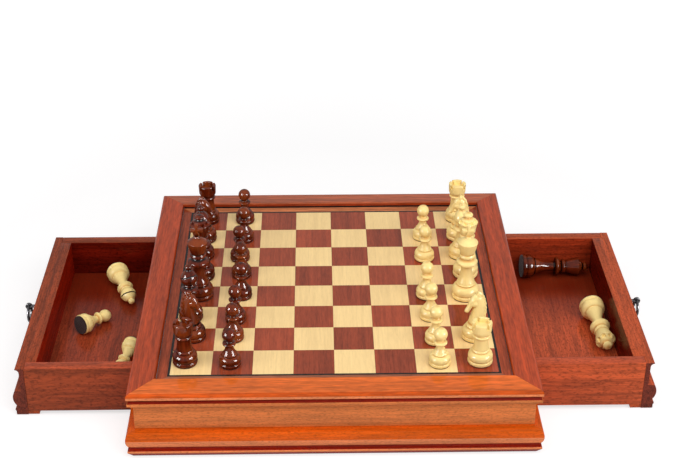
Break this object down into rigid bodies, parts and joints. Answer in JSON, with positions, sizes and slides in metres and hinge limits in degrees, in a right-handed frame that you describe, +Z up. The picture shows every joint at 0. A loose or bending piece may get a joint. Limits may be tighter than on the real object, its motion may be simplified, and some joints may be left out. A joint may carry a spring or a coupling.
{
  "type": "chess box with drawers",
  "caption": "Square wooden chess board on a moulded box whose two drawers slide out at opposite sides on black ring pulls, with turned chess men set out on it and laid in the drawers.",
  "frame": {"origin": "on the surface the box stands on, below the middle of the playing board", "axes": "+X to the right, along the way the right drawer opens; -Y to the front, the side that faces the camera; +Z up"},
  "size_m": [0.63, 0.3836, 0.149],
  "materials": {
    "frame_wood": "gloss lacquered mahogany",
    "case_wood": "satin lacquered mahogany",
    "drawer_wood": "gloss lacquered mahogany",
    "drawer_floor": "gloss stained red",
    "plywood": "bare board",
    "light_veneer": "satin maple veneer",
    "dark_veneer": "satin rosewood veneer",
    "black_line": "black dyed inlay",
    "black_metal": "gloss black",
    "dark_man": "gloss stained hardwood with a dark felt",
    "light_man": "satin boxwood with a dark felt"
  },
  "bodies": {
    "case": {"case_front": "case_wood", "case_back": "case_wood", "side_stiles": "case_wood", "cornice_strips": "case_wood", "frame_rail_front": "frame_wood", "frame_rail_back": "frame_wood", "frame_rail_left": "frame_wood", "frame_rail_right": "frame_wood", "board_core": "plywood", "light_squares": "light_veneer", "dark_squares": "dark_veneer", "black_inlay_line": "black_line", "border_strips": "dark_veneer", "bottom_panel": "plywood", "centre_divider": "plywood", "drawer_guides": "plywood"},
    "left_drawer": {"left_drawer_front": "drawer_wood", "left_drawer_walls": "drawer_wood", "left_drawer_bottom": "drawer_floor", "left_pull_plate": "black_metal"},
    "left_ring": {"left_pull_ring": "black_metal"},
    "right_drawer": {"right_drawer_front": "drawer_wood", "right_drawer_walls": "drawer_wood", "right_drawer_bottom": "drawer_floor", "right_pull_plate": "black_metal"},
    "right_ring": {"right_pull_ring": "black_metal"},
    "dark_rook_1": {"dark_rook_1": "dark_man"},
    "dark_knight_1": {"dark_knight_1": "dark_man"},
    "dark_bishop_1": {"dark_bishop_1": "dark_man"},
    "dark_king": {"dark_king": "dark_man"},
    "dark_queen": {"dark_queen": "dark_man"},
    "dark_bishop_2": {"dark_bishop_2": "dark_man"},
    "dark_knight_2": {"dark_knight_2": "dark_man"},
    "dark_rook_2": {"dark_rook_2": "dark_man"},
    "dark_pawn_1": {"dark_pawn_1": "dark_man"},
    "dark_pawn_2": {"dark_pawn_2": "dark_man"},
    "dark_pawn_3": {"dark_pawn_3": "dark_man"},
    "dark_pawn_4": {"dark_pawn_4": "dark_man"},
    "dark_pawn_5": {"dark_pawn_5": "dark_man"},
    "dark_pawn_6": {"dark_pawn_6": "dark_man"},
    "dark_pawn_7": {"dark_pawn_7": "dark_man"},
    "dark_pawn_8": {"dark_pawn_8": "dark_man"},
    "light_pawn_1": {"light_pawn_1": "light_man"},
    "light_pawn_2": {"light_pawn_2": "light_man"},
    "light_pawn_3": {"light_pawn_3": "light_man"},
    "light_pawn_4": {"light_pawn_4": "light_man"},
    "light_pawn_5": {"light_pawn_5": "light_man"},
    "light_pawn_6": {"light_pawn_6": "light_man"},
    "light_rook_1": {"light_rook_1": "light_man"},
    "light_knight_1": {"light_knight_1": "light_man"},
    "light_king": {"light_king": "light_man"},
    "light_queen": {"light_queen": "light_man"},
    "light_bishop_1": {"light_bishop_1": "light_man"},
    "light_knight_2": {"light_knight_2": "light_man"},
    "light_rook_2": {"light_rook_2": "light_man"},
    "light_bishop_2": {"light_bishop_2": "light_man"},
    "light_pawn_7": {"light_pawn_7": "light_man"},
    "light_pawn_8": {"light_pawn_8": "light_man"},
    "spare_dark_queen": {"spare_dark_queen": "dark_man"},
    "spare_light_queen": {"spare_light_queen": "light_man"}
  },
  "joints": [
    {"name": "left_drawer_slide", "type": "slide", "parent": "case", "child": "left_drawer", "axis": [-1, 0, 0], "range_m": [-0.1145, 0.02]},
    {"name": "left_ring_swing", "type": "hinge", "parent": "left_drawer", "child": "left_ring", "pos_m": [-0.31, 0, 0.0444], "axis": [0, 1, 0], "range_deg": [-8, 95]},
    {"name": "right_drawer_slide", "type": "slide", "parent": "case", "child": "right_drawer", "axis": [1, 0, 0], "range_m": [-0.1175, 0.02]},
    {"name": "right_ring_swing", "type": "hinge", "parent": "right_drawer", "child": "right_ring", "pos_m": [0.313, 0, 0.0444], "axis": [0, -1, 0], "range_deg": [-8, 95]},
    {"name": "lift_dark_rook_1", "type": "slide", "parent": "case", "child": "dark_rook_1", "axis": [0, 0, 1], "range_m": [0, 0.09]},
    {"name": "lift_dark_knight_1", "type": "slide", "parent": "case", "child": "dark_knight_1", "axis": [0, 0, 1], "range_m": [0, 0.09]},
    {"name": "lift_dark_bishop_1", "type": "slide", "parent": "case", "child": "dark_bishop_1", "axis": [0, 0, 1], "range_m": [0, 0.09]},
    {"name": "lift_dark_king", "type": "slide", "parent": "case", "child": "dark_king", "axis": [0, 0, 1], "range_m": [0, 0.09]},
    {"name": "lift_dark_queen", "type": "slide", "parent": "case", "child": "dark_queen", "axis": [0, 0, 1], "range_m": [0, 0.09]},
    {"name": "lift_dark_bishop_2", "type": "slide", "parent": "case", "child": "dark_bishop_2", "axis": [0, 0, 1], "range_m": [0, 0.09]},
    {"name": "lift_dark_knight_2", "type": "slide", "parent": "case", "child": "dark_knight_2", "axis": [0, 0, 1], "range_m": [0, 0.09]},
    {"name": "lift_dark_rook_2", "type": "slide", "parent": "case", "child": "dark_rook_2", "axis": [0, 0, 1], "range_m": [0, 0.09]},
    {"name": "lift_dark_pawn_1", "type": "slide", "parent": "case", "child": "dark_pawn_1", "axis": [0, 0, 1], "range_m": [0, 0.09]},
    {"name": "lift_dark_pawn_2", "type": "slide", "parent": "case", "child": "dark_pawn_2", "axis": [0, 0, 1], "range_m": [0, 0.09]},
    {"name": "lift_dark_pawn_3", "type": "slide", "parent": "case", "child": "dark_pawn_3", "axis": [0, 0, 1], "range_m": [0, 0.09]},
    {"name": "lift_dark_pawn_4", "type": "slide", "parent": "case", "child": "dark_pawn_4", "axis": [0, 0, 1], "range_m": [0, 0.09]},
    {"name": "lift_dark_pawn_5", "type": "slide", "parent": "case", "child": "dark_pawn_5", "axis": [0, 0, 1], "range_m": [0, 0.09]},
    {"name": "lift_dark_pawn_6", "type": "slide", "parent": "case", "child": "dark_pawn_6", "axis": [0, 0, 1], "range_m": [0, 0.09]},
    {"name": "lift_dark_pawn_7", "type": "slide", "parent": "case", "child": "dark_pawn_7", "axis": [0, 0, 1], "range_m": [0, 0.09]},
    {"name": "lift_dark_pawn_8", "type": "slide", "parent": "case", "child": "dark_pawn_8", "axis": [0, 0, 1], "range_m": [0, 0.09]},
    {"name": "lift_light_pawn_1", "type": "slide", "parent": "case", "child": "light_pawn_1", "axis": [0, 0, 1], "range_m": [0, 0.09]},
    {"name": "lift_light_pawn_2", "type": "slide", "parent": "case", "child": "light_pawn_2", "axis": [0, 0, 1], "range_m": [0, 0.09]},
    {"name": "lift_light_pawn_3", "type": "slide", "parent": "case", "child": "light_pawn_3", "axis": [0, 0, 1], "range_m": [0, 0.09]},
    {"name": "lift_light_pawn_4", "type": "slide", "parent": "case", "child": "light_pawn_4", "axis": [0, 0, 1], "range_m": [0, 0.09]},
    {"name": "lift_light_pawn_5", "type": "slide", "parent": "case", "child": "light_pawn_5", "axis": [0, 0, 1], "range_m": [0, 0.09]},
    {"name": "lift_light_pawn_6", "type": "slide", "parent": "case", "child": "light_pawn_6", "axis": [0, 0, 1], "range_m": [0, 0.09]},
    {"name": "lift_light_rook_1", "type": "slide", "parent": "case", "child": "light_rook_1", "axis": [0, 0, 1], "range_m": [0, 0.09]},
    {"name": "lift_light_knight_1", "type": "slide", "parent": "case", "child": "light_knight_1", "axis": [0, 0, 1], "range_m": [0, 0.09]},
    {"name": "lift_light_king", "type": "slide", "parent": "case", "child": "light_king", "axis": [0, 0, 1], "range_m": [0, 0.09]},
    {"name": "lift_light_queen", "type": "slide", "parent": "case", "child": "light_queen", "axis": [0, 0, 1], "range_m": [0, 0.09]},
    {"name": "lift_light_bishop_1", "type": "slide", "parent": "case", "child": "light_bishop_1", "axis": [0, 0, 1], "range_m": [0, 0.09]},
    {"name": "lift_light_knight_2", "type": "slide", "parent": "case", "child": "light_knight_2", "axis": [0, 0, 1], "range_m": [0, 0.09]},
    {"name": "lift_light_rook_2", "type": "slide", "parent": "case", "child": "light_rook_2", "axis": [0, 0, 1], "range_m": [0, 0.09]},
    {"name": "lift_light_bishop_2", "type": "slide", "parent": "left_drawer", "child": "light_bishop_2", "axis": [0, 0, 1], "range_m": [0, 0.062]},
    {"name": "lift_light_pawn_7", "type": "slide", "parent": "left_drawer", "child": "light_pawn_7", "axis": [0, 0, 1], "range_m": [0, 0.062]},
    {"name": "lift_light_pawn_8", "type": "slide", "parent": "left_drawer", "child": "light_pawn_8", "axis": [0, 0, 1], "range_m": [0, 0.062]},
    {"name": "lift_spare_dark_queen", "type": "slide", "parent": "right_drawer", "child": "spare_dark_queen", "axis": [0, 0, 1], "range_m": [0, 0.062]},
    {"name": "lift_spare_light_queen", "type": "slide", "parent": "right_drawer", "child": "spare_light_queen", "axis": [0, 0, 1], "range_m": [0, 0.062]}
  ]
}
